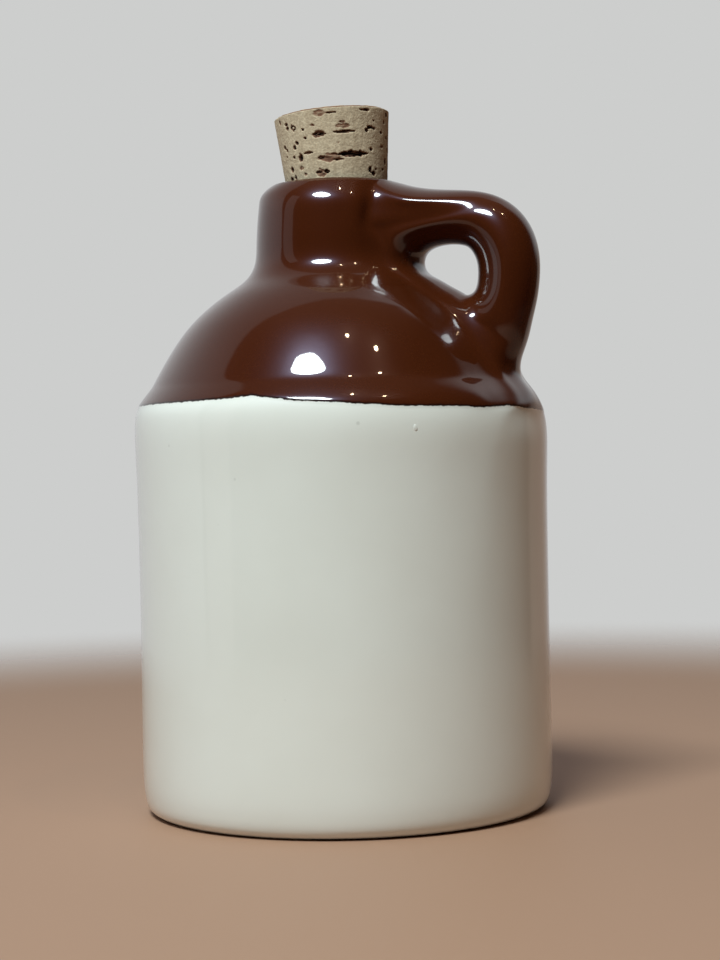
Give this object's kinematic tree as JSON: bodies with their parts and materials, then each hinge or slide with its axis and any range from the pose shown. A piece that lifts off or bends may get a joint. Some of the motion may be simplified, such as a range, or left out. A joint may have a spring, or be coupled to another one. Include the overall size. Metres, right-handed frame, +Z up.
{
  "type": "ceramic jug with cork stopper",
  "caption": "Small cylindrical ceramic jug with a sloping shoulder, narrow neck, finger-ring handle and tapered cork stopper.",
  "frame": {"origin": "centre of the flat foot, in the plane the jug stands on", "axes": "+Z up along the turning axis, +X from the axis towards the ring handle, +Y completes a right-handed set"},
  "size_m": [0.0813, 0.08, 0.1352],
  "materials": {
    "glazed_ceramic": null,
    "natural_cork": null
  },
  "bodies": {
    "root": {"jug": "glazed_ceramic", "cork_stopper": "natural_cork"}
  },
  "joints": []
}
